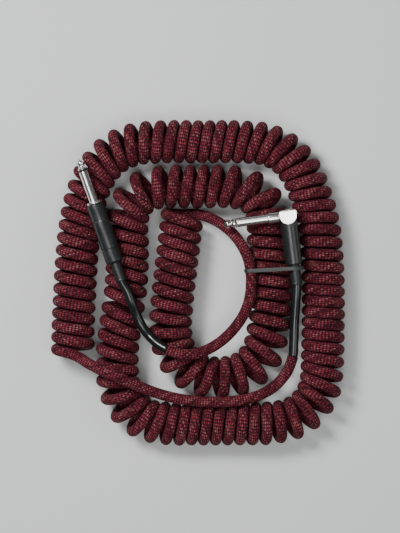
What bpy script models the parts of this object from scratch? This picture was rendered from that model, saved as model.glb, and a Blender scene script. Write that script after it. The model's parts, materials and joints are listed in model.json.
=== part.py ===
"""Coiled instrument cable with a straight plug, a right-angle plug and a twist tie.

The cable lies flat on its floor at Z = 0, wound into a double loop. +X and +Y lie on the floor
and +Z is up. Sizes below are in millimetres, and MM turns them into metres.
Run with: blender --background --python part.py
"""

import math

import bmesh
import bpy
from mathutils import Matrix, Vector

for old in list(bpy.data.objects):
    bpy.data.objects.remove(old, do_unlink=True)

MM = 0.001
GAP = 0.3  # clearance between pieces that touch

# The middle of the whole cable's box, so that the origin is at the middle of its base.
MIDDLE_X = -1.7
MIDDLE_Y = -0.6

# Coil: a helix of cord, held here as one fat tube of its outer diameter.
COIL_RADIUS = 15.0
COIL_HEIGHT = COIL_RADIUS
COIL_STEP = 10.0  # distance between the fat tube's rings
COIL_GAP = 0.6  # between two stretches, whose end faces lean a little on a bend
END_STEP = 0.3  # distance of a tube's last ring but one from its end

# Each stretch of the coil: its name and the points of its centreline up to the next stretch.
COIL_ROUTE = (
    ("coil_centre", ((-12.9, 42.0), (-14.9, 25.0), (-17.6, 3.0))),
    ("coil_u_turn", ((-19.8, -18.0), (-20.5, -34.0), (-16.0, -50.7), (-3.9, -62.4),
                     (12.8, -66.0), (29.4, -62.2), (41.4, -50.7), (46.2, -34.0))),
    ("coil_right", ((48.4, -14.0), (48.3, 6.0))),
    ("coil_arch", ((46.7, 25.0), (46.0, 41.8), (43.2, 53.2), (35.2, 61.6), (24.0, 64.6), (-2.0, 65.0),
                   (-28.0, 64.6), (-39.2, 61.6), (-47.2, 53.2), (-50.0, 41.8))),
    ("coil_left", ((-50.0, 25.0), (-50.3, 8.0), (-51.6, -8.0), (-54.0, -24.0),
                   (-56.3, -40.0))),
    ("coil_bottom_left", ((-57.2, -58.0), (-55.2, -74.0), (-48.4, -86.6), (-38.0, -94.2))),
    ("coil_bottom", ((-24.0, -96.9), (0.0, -97.2), (25.0, -97.2))),
    ("coil_bottom_right", ((50.0, -96.4), (64.0, -93.2), (74.8, -85.2), (81.4, -74.0))),
    ("coil_outer_right", ((83.4, -58.0), (84.0, -36.0), (84.2, -10.0), (83.4, 15.0),
                          (81.2, 38.0))),
    ("coil_outer_top_right", ((75.8, 58.4), (69.0, 74.6), (58.8, 87.4), (45.2, 94.2))),
    ("coil_outer_top", ((28.0, 95.9), (0.0, 96.0))),
    ("coil_outer_top_left", ((-28.0, 95.9), (-45.2, 94.2), (-59.8, 87.8), (-70.8, 75.6),
                             (-78.2, 58.8))),
    ("coil_outer_left", ((-82.6, 38.0), (-85.0, 15.0), (-86.4, -10.0), (-87.4, -32.0),
                         (-87.6, -44.0))),
)

# Cord: tweed tails between the coil and the black leads at the plugs.
CORD_RADIUS = 3.7
LEAD_RADIUS = 3.3
CORD_STEP = 10.0

TAIL_A_ROUTE = (
    (-14.0, 46.6, 4.6), (-5.0, 46.7, 6.0), (2.5, 45.4, 10.5), (9.4, 42.5, 16.0),
    (16.7, 37.8, 21.0), (23.3, 31.6, 24.6), (28.4, 24.4, 27.2), (32.2, 16.2, 28.6),
    (34.0, 7.6, 29.0), (34.4, -1.5, 28.8), (33.4, -11.0, 28.3), (30.0, -21.0, 27.0),
    (24.6, -29.6, 26.2), (16.4, -38.4, 26.4), (5.8, -45.4, 29.0), (-5.0, -48.9, 33.2),
    (-15.0, -48.4, 34.9), (-22.5, -45.6, 34.4),
)
LEAD_A_ROUTE = (
    (-28.6, -42.2, 32.2), (-34.6, -36.8, 29.2), (-40.0, -29.6, 28.6), (-43.8, -21.6, 30.4),
    (-47.0, -13.0, 33.6), (-49.9, -5.6, 34.9),
)
TAIL_B_ROUTE = (
    (-89.4, -48.6, 22.4), (-84.0, -50.6, 27.0), (-76.6, -55.0, 30.6), (-67.4, -59.6, 34.0),
    (-57.0, -64.0, 35.0), (-45.6, -69.2, 32.6), (-33.0, -74.4, 28.8), (-19.0, -78.6, 27.2),
    (-4.0, -81.0, 27.2), (12.8, -81.7, 27.5), (29.0, -80.2, 26.0), (41.4, -76.6, 24.6),
    (51.4, -70.4, 23.4), (58.8, -61.6, 22.8), (62.9, -51.0, 22.8),
)
LEAD_B_ROUTE = (
    (63.6, -42.0, 23.2), (63.8, -33.0, 24.0), (64.1, -25.0, 25.2), (64.6, -17.0, 26.8),
    (65.0, -9.0, 28.4),
)

# Plug pins: a quarter-inch two-pole pin, measured from its shoulder.
PIN_RADIUS = 3.175
PIN_LENGTH = 31.0
SLEEVE_FRONT = 21.6
SLEEVE_BORE = 2.15
TIP_REAR = 23.2
INSULATOR_RADIUS = 1.85
ROD_BORE = 1.1
ROD_RADIUS = 0.8

# Straight plug: its shoulder's centre and its direction on the floor, anticlockwise from +Y.
STRAIGHT_SHOULDER = (-72.1, 54.3, 35.3)
STRAIGHT_TURN_DEG = 19.2
FLANGE_RADIUS = 5.3
BOSS_RADIUS = 4.0
BOSS_REAR = -17.5
BARREL_RADIUS = 5.95
BARREL_BORE = 5.0
FRONT_BORE = 4.3
BARREL_FRONT = -13.8
BARREL_REAR = -33.5
COLLAR_REAR = -43.5
COLLAR_FRONT = -30.2
COLLAR_BORE = 4.35
STRAIGHT_RELIEF_FRONT = -41.2
STRAIGHT_RELIEF_REAR = -56.5
STRAIGHT_LEAD_START = -29.0

# Right-angle plug: where its two axes cross, its turn on the floor and its handle's dip.
ANGLE_ELBOW = (59.1, 44.8, 35.3)
ANGLE_TURN_DEG = 7.6
ANGLE_DIP_DEG = 7.5
ANGLE_SHOULDER = 13.2
COLLAR_RADIUS = 3.95
HEAD_HALF_WIDTH = 5.8
HEAD_TOP = 3.9
HEAD_ARC_CENTRE = 0.9
HEAD_HALF_DEPTH = 5.0
HANDLE_RADIUS = 5.9
HANDLE_REAR = -33.0
HANDLE_BORE = 4.85
HEAD_BOSS_RADIUS = 4.5
HEAD_BOSS_REAR = -12.0
HEAD_CAVITY_RADIUS = 3.3
ANGLE_RELIEF_FRONT = -28.0
ANGLE_RELIEF_REAR = -47.0
ANGLE_LEAD_START = -26.0

# Strain reliefs: shrink sleeves over the leads.
RELIEF_RADIUS = 4.0
RELIEF_END_RADIUS = 3.9
RELIEF_BORE = 3.65

# Twist tie: each of its hooks turns through the same angle.
TIE_WIDTH = 2.4
TIE_THICKNESS = 0.5
TIE_HOOK_DEG = 130.0
TIE_TAIL_START_DEG = 225.0
TIE_LEAD_START_DEG = 95.0
TIE_TAIL_POINT = 8  # which point of the tail's route it hooks round
TIE_PLACE = -36.2  # where it crosses the right-angle plug's lead

BLACK = ((0.022, 0.026, 0.026, 1.0), 0.42, 0.0)
NICKEL = ((0.80, 0.79, 0.77, 1.0), 0.16, 1.0)
BRASS = ((0.72, 0.52, 0.24, 1.0), 0.32, 1.0)
COPPER = ((0.80, 0.42, 0.27, 1.0), 0.34, 1.0)
WHITE = ((0.80, 0.79, 0.74, 1.0), 0.45, 0.0)
TWEED = ((0.16, 0.02, 0.035, 1.0), 0.85, 0.0)
TIE_GREY = ((0.10, 0.11, 0.10, 1.0), 0.50, 0.0)

parts = bpy.data.collections.new("instrument_cable")
cutters = bpy.data.collections.new("cutters")
bpy.context.scene.collection.children.link(parts)
bpy.context.scene.collection.children.link(cutters)


def finish_material(name, look):
    """A Principled material of the piece's own name; look is its colour, roughness and metal."""
    material = bpy.data.materials.new(name)
    material.use_nodes = True
    shader = material.node_tree.nodes["Principled BSDF"]
    shader.inputs["Base Color"].default_value = look[0]
    shader.inputs["Roughness"].default_value = look[1]
    shader.inputs["Metallic"].default_value = look[2]
    return material


def add_piece(name, data, frame, look):
    """Put a new object for one piece in the cable's collection, on its frame."""
    piece = bpy.data.objects.new(name, data)
    parts.objects.link(piece)
    piece.parent = frame
    data.materials.append(finish_material(name, look))
    return piece


def make_cutter(piece):
    """Move a shape that only cuts or joins another into the cutters' collection."""
    parts.objects.unlink(piece)
    cutters.objects.link(piece)
    piece.hide_render = True
    piece.display_type = "WIRE"
    return piece


def boolean(piece, other, operation):
    """Cut piece by other, or join other to it."""
    change = piece.modifiers.new(operation.lower(), "BOOLEAN")
    change.object = other
    change.operation = operation
    change.solver = "EXACT"


def placed(point):
    """A layout point in millimetres as a position in metres."""
    return Vector((point[0] - MIDDLE_X, point[1] - MIDDLE_Y, point[2])) * MM


def make_frame(name, origin, x_axis, z_axis):
    """An empty whose +Z is z_axis and whose +X is x_axis."""
    frame = bpy.data.objects.new(name, None)
    parts.objects.link(frame)
    y_axis = z_axis.cross(x_axis)
    turn = Matrix((x_axis, y_axis, z_axis)).transposed().to_4x4()
    frame.matrix_world = Matrix.Translation(origin) @ turn
    return frame


def turned(name, profile, frame, look, steps=24):
    """A turned piece: profile holds (radius, height) pairs in millimetres, outer side going down.

    A profile that starts and ends on the axis makes a solid, and any other makes a ring.
    """
    mesh = bpy.data.meshes.new(name)
    points = [(radius * MM, 0.0, height * MM) for radius, height in profile]
    edges = [(i, i + 1) for i in range(len(points) - 1)]
    if profile[0][0] > 0:
        edges.append((len(points) - 1, 0))
    mesh.from_pydata(points, edges, [])
    piece = add_piece(name, mesh, frame, look)
    screw = piece.modifiers.new("turn", "SCREW")
    screw.steps = steps
    screw.render_steps = steps
    screw.use_merge_vertices = True
    screw.merge_threshold = 0.00001
    screw.use_smooth_shade = True
    return piece


def ring(name, inner, outer, top, bottom, frame, look, steps=16):
    """A plain tube between two heights."""
    profile = ((outer, top), (outer, bottom), (inner, bottom), (inner, top))
    return turned(name, profile, frame, look, steps)


def rod(name, radius, top, bottom, frame, look, steps=12):
    """A plain round bar between two heights."""
    profile = ((0, top), (radius, top), (radius, bottom), (0, bottom))
    return turned(name, profile, frame, look, steps)


def block(name, low, high, frame, look):
    """A box between two corners."""
    mesh = bpy.data.meshes.new(name)
    shape = bmesh.new()
    bmesh.ops.create_cube(shape, size=1.0)
    size = [(high[i] - low[i]) * MM for i in range(3)]
    middle = [(high[i] + low[i]) / 2 * MM for i in range(3)]
    bmesh.ops.scale(shape, vec=size, verts=shape.verts)
    bmesh.ops.translate(shape, vec=middle, verts=shape.verts)
    shape.to_mesh(mesh)
    shape.free()
    return add_piece(name, mesh, frame, look)


def smooth_curve(points, per_span=120):
    """Points along a smooth curve through the given ones, and the index of each given one."""
    points = [Vector(p) for p in points]
    last = len(points) - 1
    chords = [(points[i + 1] - points[i]).length for i in range(last)]
    slopes = []
    for i in range(last + 1):
        if i == 0:
            slopes.append((points[1] - points[0]) / chords[0])
        elif i == last:
            slopes.append((points[last] - points[last - 1]) / chords[last - 1])
        else:
            before = (points[i] - points[i - 1]) / chords[i - 1]
            after = (points[i + 1] - points[i]) / chords[i]
            slopes.append((before * chords[i] + after * chords[i - 1]) / (chords[i] + chords[i - 1]))
    curve = []
    for i in range(last):
        for k in range(per_span):
            t = k / per_span
            a = 2 * t**3 - 3 * t**2 + 1
            b = t**3 - 2 * t**2 + t
            c = t**3 - t**2
            start = points[i] * a + slopes[i] * (b * chords[i])
            end = points[i + 1] * (1 - a) + slopes[i + 1] * (c * chords[i])
            curve.append(start + end)
    curve.append(points[last])
    return curve, [i * per_span for i in range(last + 1)]


def distances(curve):
    """The distance of each point from the curve's start."""
    result = [0.0]
    for i in range(1, len(curve)):
        result.append(result[-1] + (curve[i] - curve[i - 1]).length)
    return result


def point_at(curve, along, distance):
    """The point at a distance from the curve's start."""
    i = 1
    while i < len(curve) - 1 and along[i] < distance:
        i += 1
    share = (distance - along[i - 1]) / (along[i] - along[i - 1])
    return curve[i - 1].lerp(curve[i], share)


def cut_length(curve, along, start, end, step):
    """Points between two distances from the curve's start.

    They are evenly spaced, with one more close to each end, which squares the end face.
    """
    count = max(2, round((end - start) / step) + 1)
    stops = [start + (end - start) * k / (count - 1) for k in range(count)]
    stops.insert(1, start + END_STEP)
    stops.insert(-1, end - END_STEP)
    return [point_at(curve, along, stop) for stop in stops]


def tube(name, points, radius, look, resolution):
    """A tube with closed ends along points given in the layout's millimetres."""
    curve = bpy.data.curves.new(name, "CURVE")
    curve.dimensions = "3D"
    curve.twist_mode = "Z_UP"
    curve.bevel_depth = radius * MM
    curve.bevel_resolution = resolution
    curve.use_fill_caps = True
    spline = curve.splines.new("POLY")
    spline.points.add(len(points) - 1)
    for knot, point in zip(spline.points, points):
        knot.co = (*placed(point), 1.0)
    return add_piece(name, curve, None, look)


def make_coil():
    """The coil as a row of fat tubes that meet face to face."""
    route = [(x, y, COIL_HEIGHT) for _, points in COIL_ROUTE for x, y in points]
    curve, marks = smooth_curve(route)
    along = distances(curve)
    first = 0
    for name, points in COIL_ROUTE:
        last = min(first + len(points), len(marks) - 1)
        start = along[marks[first]]
        end = along[marks[last]]
        if last < len(marks) - 1:
            end -= COIL_GAP
        tube(name, cut_length(curve, along, start, end, COIL_STEP), COIL_RADIUS, TWEED, 4)
        first += len(points)


def make_cord(end, tail, lead):
    """A tweed tail and a black lead that share one smooth route, with a gap between them."""
    curve, marks = smooth_curve(tail + lead)
    along = distances(curve)
    joint = along[marks[len(tail) - 1]]
    tweed = cut_length(curve, along, 0.0, joint - GAP / 2, CORD_STEP)
    black = cut_length(curve, along, joint + GAP / 2, along[-1], CORD_STEP)
    tube("tail_" + end, tweed, CORD_RADIUS, TWEED, 2)
    tube("lead_" + end, black, LEAD_RADIUS, BLACK, 2)


def on_frame(frame, x, y, z):
    """A point of a plug's frame, in millimetres, as a layout point."""
    world = frame.matrix_world @ (Vector((x, y, z)) * MM)
    return (world.x / MM + MIDDLE_X, world.y / MM + MIDDLE_Y, world.z / MM)


def make_cords(straight, angle):
    """Both tweed tails, and both black leads from inside their plugs to the tails."""
    in_straight = [on_frame(straight, 0, 0, z) for z in (-57.5, -48.0, -38.0, STRAIGHT_LEAD_START)]
    in_angle = [on_frame(angle, 0, 0, z) for z in (-47.5, -36.0, ANGLE_LEAD_START)]
    make_cord("a", TAIL_A_ROUTE, LEAD_A_ROUTE + tuple(in_straight))
    make_cord("b", TAIL_B_ROUTE, LEAD_B_ROUTE + tuple(in_angle))


def make_pin(prefix, frame, rod_rear, insulator_rear):
    """The tip, its insulators and its rod, measured from the shoulder at height 0."""
    tip = ((0, PIN_LENGTH), (0.9, 30.7), (2.7, 28.5), (2.95, 27.6), (2.3, 26.1), (2.1, 25.3),
           (2.7, 24.5), (3.05, 24.1), (3.05, TIP_REAR), (0, TIP_REAR))
    turned(prefix + "_tip", tip, frame, NICKEL)
    ring(prefix + "_tip_insulator", ROD_BORE, 3.1, 22.9, 21.9, frame, BLACK, 20)
    rod(prefix + "_tip_rod", ROD_RADIUS, 22.9, rod_rear, frame, BRASS)
    ring(prefix + "_inner_insulator", ROD_BORE, INSULATOR_RADIUS, SLEEVE_FRONT, insulator_rear,
         frame, WHITE, 12)


def make_relief(prefix, frame, front, rear):
    """The shrink sleeve over the lead behind a plug, a little narrower at its rear."""
    relief = ((RELIEF_RADIUS, front), (RELIEF_RADIUS, rear + 4.5), (RELIEF_END_RADIUS, rear),
              (RELIEF_BORE, rear), (RELIEF_BORE, front))
    turned(prefix + "_strain_relief", relief, frame, BLACK, 20)


def make_straight_plug(frame):
    """The straight plug along its frame's Z, with its shoulder at height 0."""
    make_pin("straight", frame, -12.0, -9.0)
    sleeve = ((PIN_RADIUS, SLEEVE_FRONT), (PIN_RADIUS, 0), (FLANGE_RADIUS, 0), (FLANGE_RADIUS, -1.5),
              (BOSS_RADIUS, -1.5), (BOSS_RADIUS, BOSS_REAR), (SLEEVE_BORE, BOSS_REAR),
              (SLEEVE_BORE, SLEEVE_FRONT))
    turned("straight_sleeve", sleeve, frame, NICKEL)
    front_rear = BARREL_FRONT + GAP
    front = ((5.5, -1.8), (BARREL_RADIUS, -2.4), (BARREL_RADIUS, front_rear),
             (FRONT_BORE, front_rear), (FRONT_BORE, -1.8))
    turned("straight_front_ring", front, frame, BLACK)
    barrel = ((BARREL_RADIUS, BARREL_FRONT), (BARREL_RADIUS, BARREL_REAR), (BARREL_BORE, BARREL_REAR),
              (BARREL_BORE, -18.0), (FRONT_BORE, -18.0), (FRONT_BORE, BARREL_FRONT))
    turned("straight_barrel", barrel, frame, BLACK)
    ring("straight_liner", 4.2, 4.6, -18.3, -29.5, frame, WHITE)
    spigot_radius = BARREL_BORE - GAP
    collar = ((spigot_radius, COLLAR_FRONT), (spigot_radius, BARREL_REAR - GAP),
              (BARREL_RADIUS, BARREL_REAR - GAP), (BARREL_RADIUS, COLLAR_REAR + 0.7),
              (5.4, COLLAR_REAR), (COLLAR_BORE, COLLAR_REAR), (COLLAR_BORE, COLLAR_FRONT))
    turned("straight_rear_collar", collar, frame, BLACK)
    chuck = ((3.8, -30.8), (4.0, -31.8), (4.0, -34.9), (3.65, -34.9), (3.65, -30.8))
    turned("straight_chuck", chuck, frame, WHITE, 16)
    make_relief("straight", frame, STRAIGHT_RELIEF_FRONT, STRAIGHT_RELIEF_REAR)
    block("straight_tip_lug", (-1.3, -0.4, -19.0), (1.3, 0.4, -12.3), frame, BRASS)
    rod("straight_conductor", 0.5, -19.3, -28.7, frame, COPPER, 8)
    ring("straight_core_insulation", 0.85, 1.5, -22.5, -28.7, frame, WHITE, 12)
    block("straight_ground_lug", (-1.8, -3.6, -28.0), (1.8, -3.0, -17.8), frame, BRASS)
    pigtail = [on_frame(frame, 0, y, z) for y, z in ((-2.3, -28.4), (-2.35, -25.0), (-2.4, -21.0))]
    tube("straight_shield_pigtail", pigtail, 0.25, COPPER, 2)


def head_outline():
    """The right-angle plug's head from its flat side: a flat top and a half-round bottom."""
    ease = 0.8
    outline = [(-HEAD_HALF_WIDTH, HEAD_TOP - ease), (-HEAD_HALF_WIDTH + ease, HEAD_TOP),
               (HEAD_HALF_WIDTH - ease, HEAD_TOP), (HEAD_HALF_WIDTH, HEAD_TOP - ease)]
    arc_steps = 18
    for k in range(arc_steps + 1):
        angle = -math.pi * k / arc_steps
        outline.append((HEAD_HALF_WIDTH * math.cos(angle),
                        HEAD_ARC_CENTRE + HEAD_HALF_WIDTH * math.sin(angle)))
    return outline


def plate(name, outline, half_thickness, frame, look):
    """A flat piece as a mesh: an outline in the frame's X and Z, as thick as it is told in Y."""
    curve = bpy.data.curves.new(name, "CURVE")
    curve.dimensions = "2D"
    curve.fill_mode = "BOTH"
    curve.extrude = half_thickness * MM
    spline = curve.splines.new("POLY")
    spline.points.add(len(outline) - 1)
    spline.use_cyclic_u = True
    for knot, (x, z) in zip(spline.points, outline):
        knot.co = (x * MM, z * MM, 0.0, 1.0)
    drawn = bpy.data.objects.new(name + "_outline", curve)
    parts.objects.link(drawn)
    bpy.context.view_layer.update()
    mesh = bpy.data.meshes.new_from_object(drawn.evaluated_get(bpy.context.evaluated_depsgraph_get()))
    bpy.data.objects.remove(drawn, do_unlink=True)
    shape = bmesh.new()
    shape.from_mesh(mesh)
    bmesh.ops.remove_doubles(shape, verts=shape.verts, dist=0.000001)
    bmesh.ops.rotate(shape, verts=shape.verts, cent=(0, 0, 0),
                     matrix=Matrix.Rotation(math.radians(90), 3, "X"))
    shape.to_mesh(mesh)
    shape.free()
    mesh.materials.clear()
    return add_piece(name, mesh, frame, look)


def make_angle_plug(frame, pin):
    """The right-angle plug: its handle goes down its frame's Z, and its pin along X."""
    make_pin("angle", pin, -12.5, -9.0)
    sleeve = ((PIN_RADIUS, SLEEVE_FRONT), (PIN_RADIUS, 0), (COLLAR_RADIUS, 0), (COLLAR_RADIUS, -7.2),
              (SLEEVE_BORE, -7.2), (SLEEVE_BORE, SLEEVE_FRONT))
    turned("angle_sleeve", sleeve, pin, NICKEL)

    head = plate("angle_head", head_outline(), HEAD_HALF_DEPTH, frame, NICKEL)
    boss = make_cutter(rod("angle_head_boss", HEAD_BOSS_RADIUS, -2.0, HEAD_BOSS_REAR, frame, NICKEL, 24))
    cavity = make_cutter(rod("angle_head_cavity", HEAD_CAVITY_RADIUS, 1.8, HEAD_BOSS_REAR - 1.0, frame,
                             NICKEL, 20))
    passage = make_cutter(rod("angle_head_passage", SLEEVE_BORE, -7.0, -12.0, pin, NICKEL, 16))
    boolean(head, boss, "UNION")
    boolean(head, cavity, "DIFFERENCE")
    boolean(head, passage, "DIFFERENCE")

    lip_top = HANDLE_REAR + 1.5
    handle_profile = ((HANDLE_RADIUS, 0), (HANDLE_RADIUS, HANDLE_REAR + 0.6), (5.5, HANDLE_REAR),
                      (COLLAR_BORE, HANDLE_REAR), (COLLAR_BORE, lip_top), (HANDLE_BORE, lip_top),
                      (HANDLE_BORE, 0))
    handle = turned("angle_handle_sleeve", handle_profile, frame, BLACK)
    scallop = make_cutter(rod("angle_handle_scallop", HEAD_HALF_WIDTH + 0.35, 10.0, -10.0, frame,
                              NICKEL, 40))
    lay_across = Matrix.Translation((0, 0, HEAD_ARC_CENTRE * MM)) @ Matrix.Rotation(
        math.radians(90), 4, "X")
    scallop.matrix_local = lay_across
    notch = make_cutter(rod("angle_handle_notch", COLLAR_RADIUS + GAP, -6.0, -11.0, pin, NICKEL, 20))
    boolean(handle, scallop, "DIFFERENCE")
    boolean(handle, notch, "DIFFERENCE")

    ring("angle_liner", 4.15, 4.5, -12.6, -24.0, frame, WHITE)
    make_relief("angle", frame, ANGLE_RELIEF_FRONT, ANGLE_RELIEF_REAR)
    block("angle_tip_lug", (-0.6, -1.2, -9.0), (0.2, 1.2, 1.4), frame, BRASS)
    rod("angle_conductor", 0.5, -9.3, -25.7, frame, COPPER, 8)
    ring("angle_core_insulation", 0.85, 1.5, -18.0, -25.7, frame, WHITE, 12)
    block("angle_ground_lug", (-1.8, -3.5, -24.5), (1.8, -2.9, -12.3), frame, BRASS)
    pigtail = [on_frame(frame, 0, y, z) for y, z in ((-2.2, -25.6), (-2.25, -22.0), (-2.3, -18.0))]
    tube("angle_shield_pigtail", pigtail, 0.25, COPPER, 2)


def make_tie(tail_point, lead_point, lead_clear):
    """The twist tie: an open band that hooks the tail at one end and the lead at the other."""
    tail = Vector(tail_point)
    lead = Vector(lead_point)
    flat = Vector((lead.x - tail.x, lead.y - tail.y, 0.0))
    across = flat.normalized()
    width = Vector((-across.y, across.x, 0.0)) * TIE_WIDTH / 2
    tail_radius = CORD_RADIUS + GAP
    path = []
    hook_steps = 9
    for k in range(hook_steps + 1):
        angle = math.radians(TIE_TAIL_START_DEG - TIE_HOOK_DEG * k / hook_steps)
        path.append(tail + across * (tail_radius * math.cos(angle))
                    + Vector((0, 0, tail_radius * math.sin(angle))))
    for k in range(hook_steps + 1):
        angle = math.radians(TIE_LEAD_START_DEG - TIE_HOOK_DEG * k / hook_steps)
        path.append(lead + across * (lead_clear * math.cos(angle))
                    + Vector((0, 0, lead_clear * math.sin(angle))))
    mesh = bpy.data.meshes.new("twist_tie")
    points = [placed(p + side) for p in path for side in (-width, width)]
    faces = [(2 * i, 2 * i + 1, 2 * i + 3, 2 * i + 2) for i in range(len(path) - 1)]
    mesh.from_pydata(points, [], faces)
    mesh.shade_smooth()
    tie = add_piece("twist_tie", mesh, None, TIE_GREY)
    thicken = tie.modifiers.new("thickness", "SOLIDIFY")
    thicken.thickness = TIE_THICKNESS * MM
    thicken.offset = -1.0


def main():
    """Make the coil, both plugs, the cords between them and the tie."""
    turn = math.radians(STRAIGHT_TURN_DEG)
    ahead = Vector((-math.sin(turn), math.cos(turn), 0.0))
    aside = Vector((math.cos(turn), math.sin(turn), 0.0))
    straight = make_frame("straight_plug_frame", placed(STRAIGHT_SHOULDER), aside, ahead)

    turn = math.radians(ANGLE_TURN_DEG)
    dip = math.radians(ANGLE_DIP_DEG)
    towards_tip = Vector((-math.cos(turn), -math.sin(turn), 0.0))
    up_handle = Vector((-math.sin(turn) * math.cos(dip), math.cos(turn) * math.cos(dip),
                        math.sin(dip)))
    angle = make_frame("angle_plug_frame", placed(ANGLE_ELBOW), towards_tip, up_handle)
    shoulder = placed(ANGLE_ELBOW) + towards_tip * ANGLE_SHOULDER * MM
    pin = make_frame("angle_pin_frame", shoulder, up_handle.cross(towards_tip), towards_tip)
    bpy.context.view_layer.update()

    make_coil()
    make_straight_plug(straight)
    make_angle_plug(angle, pin)
    make_cords(straight, angle)
    lead_point = on_frame(angle, 0, 0, TIE_PLACE)
    make_tie(TAIL_A_ROUTE[TIE_TAIL_POINT], lead_point, HANDLE_RADIUS + GAP)


main()
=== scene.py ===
import json
import math

import bmesh
import bpy
import numpy as np
from mathutils import Matrix, Vector


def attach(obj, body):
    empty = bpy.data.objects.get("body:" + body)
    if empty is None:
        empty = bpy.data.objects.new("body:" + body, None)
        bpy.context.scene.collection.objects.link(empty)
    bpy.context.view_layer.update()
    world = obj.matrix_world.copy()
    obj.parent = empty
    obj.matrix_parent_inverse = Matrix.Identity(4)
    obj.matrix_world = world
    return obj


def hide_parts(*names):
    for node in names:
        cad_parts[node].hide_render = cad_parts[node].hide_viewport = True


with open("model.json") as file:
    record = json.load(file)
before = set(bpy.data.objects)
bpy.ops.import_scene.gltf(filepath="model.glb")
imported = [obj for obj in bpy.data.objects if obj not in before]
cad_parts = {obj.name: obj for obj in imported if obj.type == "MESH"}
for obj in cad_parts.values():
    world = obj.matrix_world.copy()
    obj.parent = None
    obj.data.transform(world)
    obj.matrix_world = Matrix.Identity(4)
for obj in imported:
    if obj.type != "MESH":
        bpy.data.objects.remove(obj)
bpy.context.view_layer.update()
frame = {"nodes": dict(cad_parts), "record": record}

MM = 0.001

# ---------------------------------------------------------------------------------------------
# Layout, as in the part's source: millimetres, with the middle of the whole box taken off.
MIDDLE = np.array((-1.7, -0.6, 0.0))

COIL_RADIUS = 15.0
COIL_ROUTE = (
    (-12.9, 42.0), (-14.9, 25.0), (-17.6, 3.0),
    (-19.8, -18.0), (-20.5, -34.0), (-16.0, -50.7), (-3.9, -62.4), (12.8, -66.0), (29.4, -62.2),
    (41.4, -50.7), (46.2, -34.0), (48.4, -14.0), (48.3, 6.0),
    (46.7, 25.0), (46.0, 41.8), (43.2, 53.2), (35.2, 61.6), (24.0, 64.6), (-2.0, 65.0),
    (-28.0, 64.6), (-39.2, 61.6), (-47.2, 53.2), (-50.0, 41.8), (-50.0, 25.0), (-50.3, 8.0),
    (-51.6, -8.0), (-54.0, -24.0), (-56.3, -40.0), (-57.2, -58.0), (-55.2, -74.0),
    (-48.4, -86.6), (-38.0, -94.2), (-24.0, -96.9), (0.0, -97.2), (25.0, -97.2),
    (50.0, -96.4), (64.0, -93.2), (74.8, -85.2), (81.4, -74.0), (83.4, -58.0), (84.0, -36.0),
    (84.2, -10.0), (83.4, 15.0), (81.2, 38.0), (75.8, 58.4), (69.0, 74.6), (58.8, 87.4),
    (45.2, 94.2), (28.0, 95.9), (0.0, 96.0), (-28.0, 95.9), (-45.2, 94.2), (-59.8, 87.8),
    (-70.8, 75.6), (-78.2, 58.8), (-82.6, 38.0), (-85.0, 15.0), (-86.4, -10.0), (-87.4, -32.0),
    (-87.6, -44.0),
)
TAIL_A_ROUTE = (
    (-14.0, 46.6, 4.6), (-5.0, 46.7, 6.0), (2.5, 45.4, 10.5), (9.4, 42.5, 16.0),
    (16.7, 37.8, 21.0), (23.3, 31.6, 24.6), (28.4, 24.4, 27.2), (32.2, 16.2, 28.6),
    (34.0, 7.6, 29.0), (34.4, -1.5, 28.8), (33.4, -11.0, 28.3), (30.0, -21.0, 27.0),
    (24.6, -29.6, 26.2), (16.4, -38.4, 26.4), (5.8, -45.4, 29.0), (-5.0, -48.9, 33.2),
    (-15.0, -48.4, 34.9), (-22.5, -45.6, 34.4),
)
LEAD_A_ROUTE = (
    (-28.6, -42.2, 32.2), (-34.6, -36.8, 29.2), (-40.0, -29.6, 28.6), (-43.8, -21.6, 30.4),
    (-47.0, -13.0, 33.6), (-49.9, -5.6, 34.9),
)
TAIL_B_ROUTE = (
    (-89.4, -48.6, 22.4), (-84.0, -50.6, 27.0), (-76.6, -55.0, 30.6), (-67.4, -59.6, 34.0),
    (-57.0, -64.0, 35.0), (-45.6, -69.2, 32.6), (-33.0, -74.4, 28.8), (-19.0, -78.6, 27.2),
    (-4.0, -81.0, 27.2), (12.8, -81.7, 27.5), (29.0, -80.2, 26.0), (41.4, -76.6, 24.6),
    (51.4, -70.4, 23.4), (58.8, -61.6, 22.8), (62.9, -51.0, 22.8),
)
LEAD_B_ROUTE = (
    (63.6, -42.0, 23.2), (63.8, -33.0, 24.0), (64.1, -25.0, 25.2), (64.6, -17.0, 26.8),
    (65.0, -9.0, 28.4),
)

# Cord.
CORD_LENGTH = 9000.0  # plug to plug
CORD_RADIUS = 3.7  # chosen
LEAD_RADIUS = 3.25
HELIX_RADIUS = COIL_RADIUS - CORD_RADIUS
HELIX_START_DEG = 180.0  # the coil's first turn leaves from underneath
HELIX_END_DEG = -25.0  # and its last comes over the top from the outer side
HELIX_LEAD_IN = 4.4  # how far the helix starts before the route's first point
HELIX_LEAD_OUT = 4.0
POINTS_PER_TURN = 28
CORD_SIDES = 20
LEAD_SIDES = 28
LEAD_STEP = 1.2  # between the black leads' rings
CORD_UV = "cord"  # turns round the cord, and metres along it

# Plugs.
PIN_RADIUS = 3.175  # a standard quarter-inch pin
STRAIGHT_SHOULDER = (-72.1, 54.3, 35.3)
STRAIGHT_TURN_DEG = 19.2
ANGLE_ELBOW = (59.1, 44.8, 35.3)
ANGLE_TURN_DEG = 7.6
ANGLE_DIP_DEG = 7.5
ANGLE_SHOULDER = 13.2
COLLAR_RADIUS = 3.95
BARREL_RADIUS = 5.95
HANDLE_RADIUS = 5.9
HEAD_HALF_WIDTH = 5.8
HEAD_TOP = 3.9
HEAD_ARC_CENTRE = 0.9
HEAD_HALF_DEPTH = 5.0

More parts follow.
